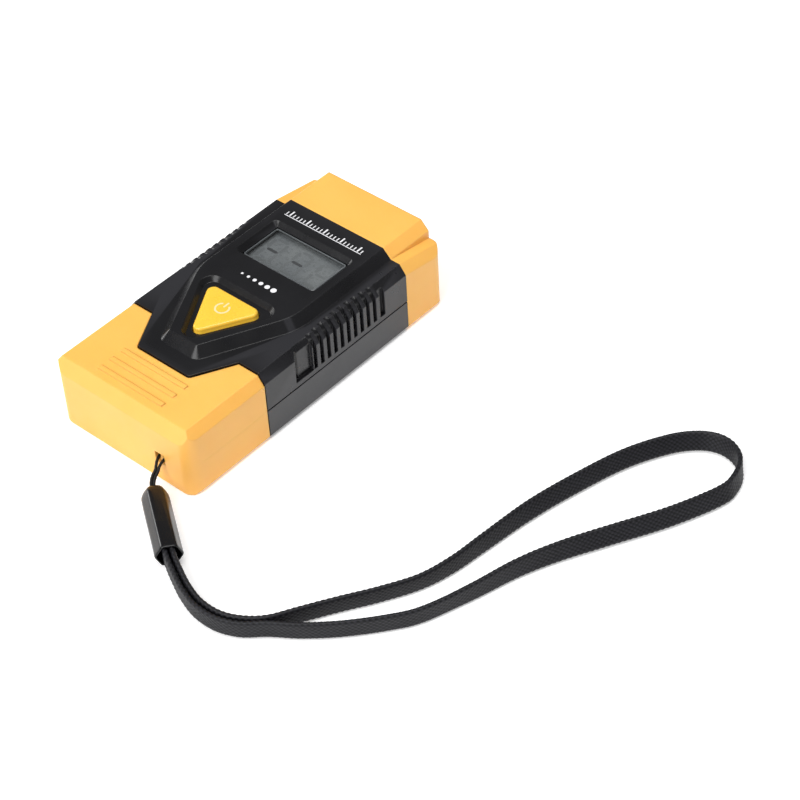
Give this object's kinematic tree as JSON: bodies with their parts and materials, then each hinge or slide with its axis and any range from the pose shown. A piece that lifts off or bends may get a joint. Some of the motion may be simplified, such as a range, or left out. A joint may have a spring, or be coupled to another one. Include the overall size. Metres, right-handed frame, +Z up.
{
  "type": "pocket moisture meter",
  "caption": "Slim hand-held two-pin moisture meter: flat case with raised display panel and triangular button, pull-off pin cap, pull-off battery cap and braided wrist lanyard.",
  "frame": {"origin": "middle of the underside of the closed case, lanyard left out", "axes": "+Z up through the display, +Y towards the measuring pins, +X to the right when the display is read from the battery end"},
  "size_m": [0.1263, 0.1036, 0.0201],
  "materials": {
    "black_plastic": "fine grain",
    "dark_plastic": "fine grain",
    "yellow_plastic": "fine grain",
    "key_plastic": "smooth",
    "white_plastic": "smooth",
    "red_plastic": "smooth",
    "clear_window": "clear",
    "display_glass": "grey green liquid crystal",
    "zebra_rubber": "matt",
    "board": "solder resist",
    "epoxy": "potting",
    "chips": "ceramic",
    "brass": "turned",
    "steel": "bright",
    "contact_metal": "plated",
    "cord": "thin braid",
    "strap": "flat braid"
  },
  "bodies": {
    "meter": {"upper_shell": "black_plastic", "lower_shell": "dark_plastic", "lcd_lens": "clear_window", "lcd_panel": "display_glass", "lcd_frame": "white_plastic", "zebra_strips": "zebra_rubber", "switch_body": "dark_plastic", "switch_cover": "steel", "circuit_board": "board", "chip_cover": "epoxy", "board_parts": "chips", "pin_holder": "dark_plastic", "pin_bushings": "brass", "electrode_left": "steel", "electrode_right": "steel", "pin_contact_left": "contact_metal", "pin_contact_right": "contact_metal", "battery_tray": "dark_plastic", "cell_lower": "steel", "cell_upper": "steel", "negative_contact": "contact_metal", "positive_contact": "contact_metal", "housing_screws": "steel", "board_screws": "steel"},
    "pin_cap": {"pin_cap": "yellow_plastic"},
    "battery_cap": {"battery_cap": "yellow_plastic", "lanyard_string": "cord", "lanyard_crimp": "black_plastic", "wrist_strap": "strap"},
    "button": {"button": "key_plastic"},
    "switch_plunger": {"switch_plunger": "red_plastic"}
  },
  "joints": [
    {"name": "pin_cap_pull", "type": "slide", "parent": "meter", "child": "pin_cap", "axis": [0, 1, 0], "range_m": [0, 0.02]},
    {"name": "battery_cap_pull", "type": "slide", "parent": "meter", "child": "battery_cap", "axis": [0, -1, 0], "range_m": [0, 0.026]},
    {"name": "button_press", "type": "slide", "parent": "meter", "child": "button", "axis": [0, 0, -1], "range_m": [0, 0.0004], "stiffness_N_per_m": 800, "springref_m": -0.0002},
    {"name": "plunger_press", "type": "slide", "parent": "meter", "child": "switch_plunger", "axis": [0, 0, -1], "range_m": [0, 0.0004]}
  ],
  "couplings": [
    {"joint": "plunger_press", "follows": "button_press", "ratio": 1}
  ]
}
